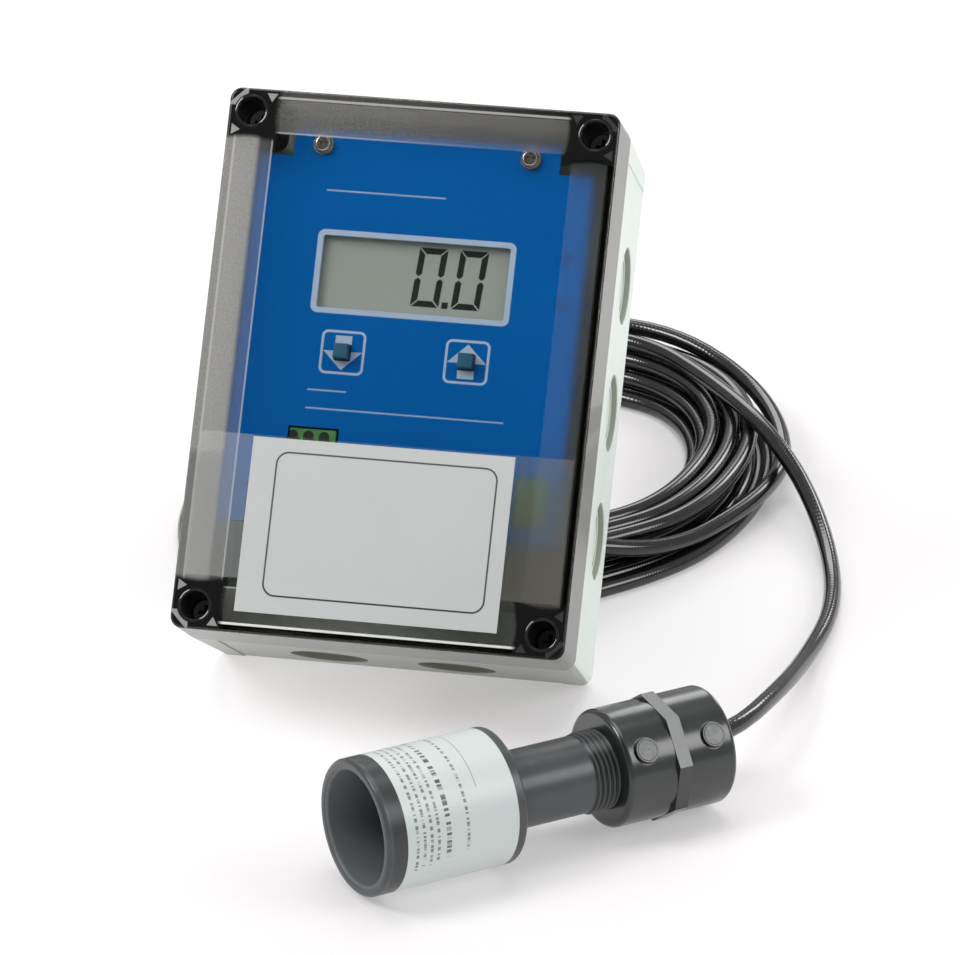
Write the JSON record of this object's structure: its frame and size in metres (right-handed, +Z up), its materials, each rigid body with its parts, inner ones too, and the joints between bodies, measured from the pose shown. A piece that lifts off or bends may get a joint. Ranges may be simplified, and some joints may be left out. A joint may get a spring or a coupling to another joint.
{
  "type": "ultrasonic level transmitter",
  "caption": "Wall box with a smoked cover, display and keys, leaning on its coiled cable, with a cup-shaped ultrasonic sensor and pipe coupling lying in front.",
  "frame": {"origin": "on the floor under the middle of the bounding box of the wall box and the sensor, without the cable", "axes": "+Z up; +X to the right across the wall box, seen from its front; +Y from its front to its back"},
  "size_m": [0.2413, 0.4297, 0.1886],
  "materials": {
    "base_plastic": "fine textured pale grey moulding",
    "smoked_plastic": "smoked clear moulding, frosted border and clear window",
    "seal_rubber": "foamed seal",
    "screw_plastic": "black plastic screw",
    "tag_paper": "white card with a printed frame line",
    "clear_film": "clear tape",
    "plate_print": "blue printed sheet",
    "bright_steel": "bright plated screws",
    "yellow_washer": "yellow plated washers",
    "spacer_plastic": "natural nylon",
    "brass_insert": "knurled brass",
    "board_laminate": "solder-masked laminate",
    "display_glass": "grey-green display face",
    "frame_plastic": "black frame",
    "pin_metal": "plated pins",
    "switch_plastic": "black switch body",
    "button_plastic": "blue key cap",
    "terminal_plastic": "green terminal body",
    "terminal_steel": "slotted plated screws",
    "relay_case": "black relay case",
    "chip_epoxy": "moulded chip",
    "can_metal": "capacitor cans",
    "lamp_lens": "red lamp lens",
    "sensor_pvc": "turned grey pipe plastic",
    "label_film": "white wrap-round label",
    "coupling_pvc": "moulded dark grey pipe plastic",
    "face_plastic": "grey transducer face",
    "piezo_ceramic": "fired ceramic",
    "pad_cork": "damping pad",
    "compound_epoxy": "cast sealing compound",
    "cable_jacket": "black cable jacket"
  },
  "bodies": {
    "transmitter": {"base_housing": "base_plastic", "faceplate": "plate_print", "faceplate_screws": "bright_steel", "faceplate_washers": "yellow_washer", "board_spacers": "spacer_plastic", "post_inserts": "brass_insert", "circuit_board": "board_laminate", "lcd_cell": "display_glass", "lcd_frame": "frame_plastic", "lcd_header": "pin_metal", "down_switch": "switch_plastic", "up_switch": "switch_plastic", "sensor_terminals": "terminal_plastic", "sensor_terminal_screws": "terminal_steel", "relay_terminals": "terminal_plastic", "relay_terminal_screws": "terminal_steel", "relay": "relay_case", "processor": "chip_epoxy", "capacitors": "can_metal", "status_leds": "lamp_lens", "sensor_housing": "sensor_pvc", "sensor_label": "label_film", "pipe_coupling": "coupling_pvc", "transducer_face": "face_plastic", "piezo_disc": "piezo_ceramic", "damping_pad": "pad_cork", "sealing_compound": "compound_epoxy", "cable_coil": "cable_jacket", "cable_lead": "cable_jacket"},
    "cover": {"cover": "smoked_plastic", "cover_seal": "seal_rubber", "cover_screws": "screw_plastic", "tag_card": "tag_paper", "tag_tape": "clear_film"},
    "down_button": {"down_button": "button_plastic"},
    "up_button": {"up_button": "button_plastic"}
  },
  "joints": [
    {"name": "cover_lift", "type": "slide", "parent": "transmitter", "child": "cover", "axis": [0, -0.829, 0.5592], "range_m": [0, 0.06]},
    {"name": "down_button_press", "type": "slide", "parent": "transmitter", "child": "down_button", "axis": [0, 0.829, -0.5592], "range_m": [0, 0.0003], "stiffness_N_per_m": 500, "springref_m": -0.0003},
    {"name": "up_button_press", "type": "slide", "parent": "transmitter", "child": "up_button", "axis": [0, 0.829, -0.5592], "range_m": [0, 0.0003], "stiffness_N_per_m": 500, "springref_m": -0.0003}
  ]
}
